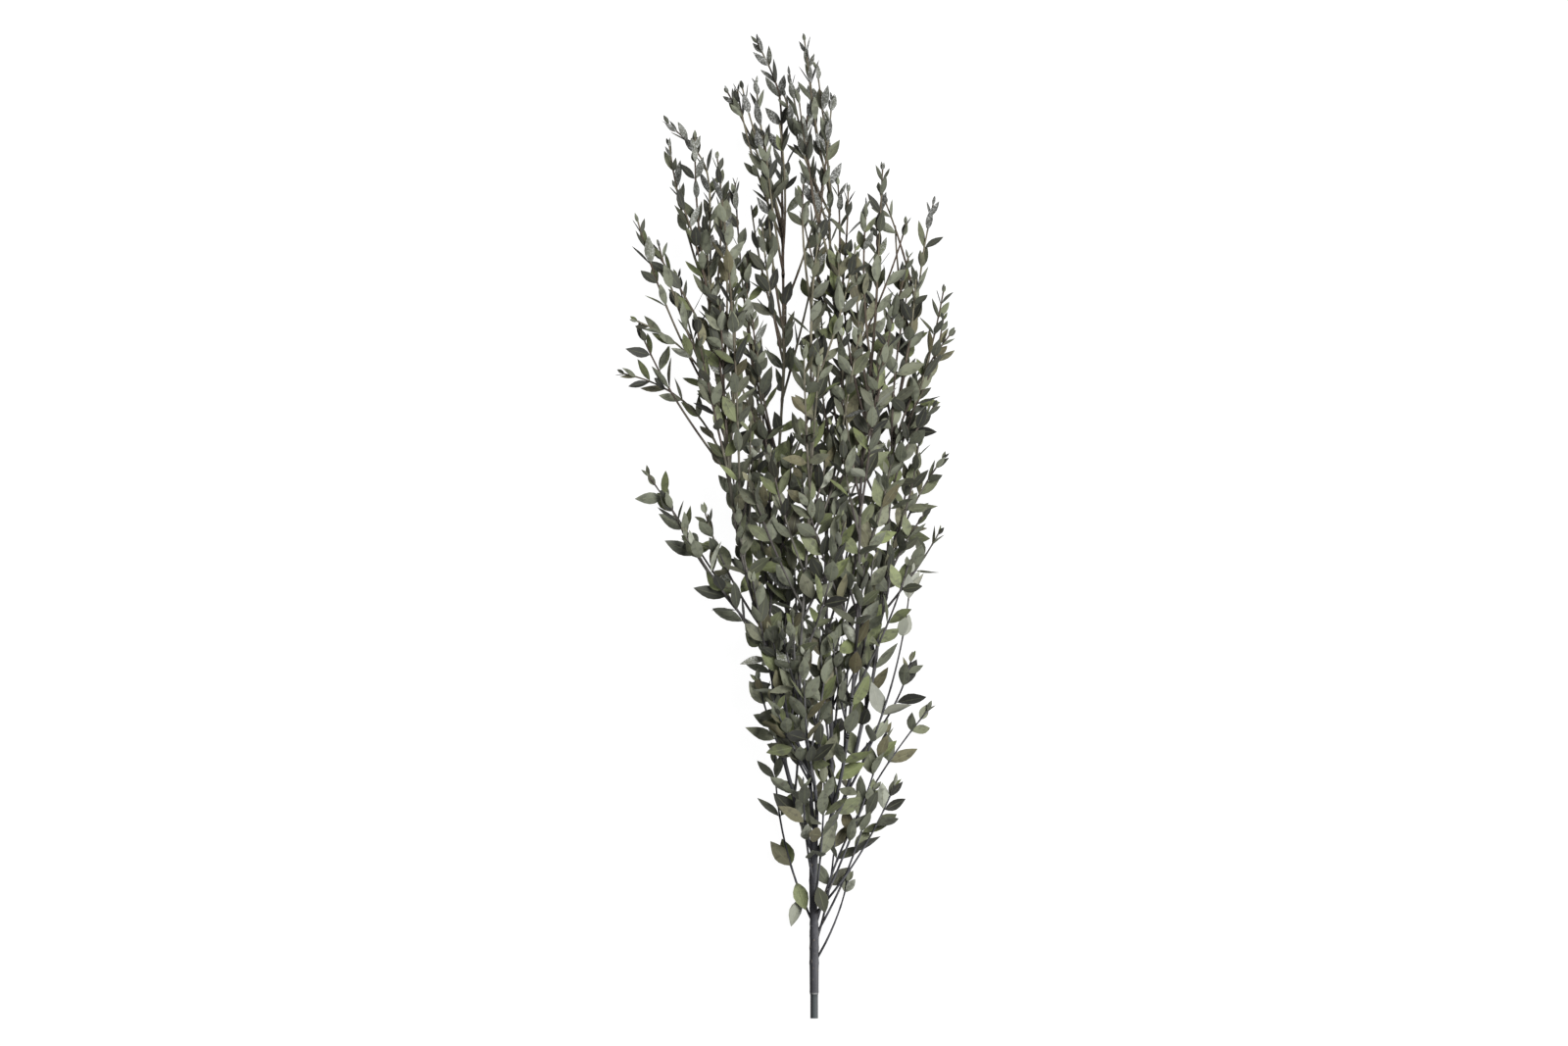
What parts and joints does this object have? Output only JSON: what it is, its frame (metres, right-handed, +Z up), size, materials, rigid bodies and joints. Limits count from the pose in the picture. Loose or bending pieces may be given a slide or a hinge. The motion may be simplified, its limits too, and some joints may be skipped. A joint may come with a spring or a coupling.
{
  "type": "dried eucalyptus stem",
  "caption": "Cut branch of small-leaved eucalyptus, dried and laid flat: a bare woody stem that forks into boughs, with thin leafy stems fanning out to a long narrow spray.",
  "frame": {"origin": "on the surface that the branch lies on, under the level foot of the stem, 12 mm from its cut end", "axes": "+Y from the cut end to the tips, +X to the right when the branch is seen from above with its tips up, +Z up from the surface"},
  "size_m": [0.2755, 0.7975, 0.134],
  "materials": {
    "bark": "matt grey-brown bark, paler and redder towards the tips",
    "leaf": "dry matt grey-green leaf with a paler underside, frosted at the tips"
  },
  "bodies": {
    "root": {"main_stem": "bark", "leafy_stem_01": "leaf", "leafy_stem_02": "leaf", "leafy_stem_03": "leaf", "leafy_stem_04": "leaf", "leafy_stem_05": "leaf", "leafy_stem_06": "leaf", "leafy_stem_07": "leaf", "leafy_stem_08": "leaf", "leafy_stem_09": "leaf", "leafy_stem_10": "leaf", "leafy_stem_11": "leaf", "leafy_stem_12": "leaf", "leafy_stem_13": "leaf", "leafy_stem_14": "leaf", "leafy_stem_15": "leaf", "leafy_stem_16": "leaf", "leafy_stem_17": "leaf", "leafy_stem_18": "leaf", "leafy_stem_19": "leaf", "leafy_stem_20": "leaf", "leafy_stem_21": "leaf", "leafy_stem_22": "leaf", "leafy_stem_23": "leaf", "leafy_stem_24": "leaf", "leafy_stem_25": "leaf", "leafy_stem_26": "leaf", "leafy_stem_27": "leaf", "leafy_stem_28": "leaf", "leafy_stem_29": "leaf", "leafy_stem_30": "leaf", "leafy_stem_31": "leaf", "leafy_stem_32": "leaf", "leafy_stem_33": "leaf", "leafy_stem_34": "leaf", "leafy_stem_35": "leaf", "leafy_stem_36": "leaf", "leafy_stem_37": "leaf", "leafy_stem_38": "leaf", "leafy_stem_39": "leaf", "leafy_stem_40": "leaf", "leafy_stem_41": "leaf", "leafy_stem_42": "leaf", "leafy_stem_43": "leaf", "leafy_stem_44": "leaf", "leafy_stem_45": "leaf", "leafy_stem_46": "leaf", "leafy_stem_47": "leaf", "leafy_stem_48": "leaf", "leafy_stem_49": "leaf", "leafy_stem_50": "leaf", "leafy_stem_51": "leaf", "leafy_stem_52": "leaf", "leafy_stem_53": "leaf", "leafy_stem_54": "leaf"}
  },
  "joints": []
}
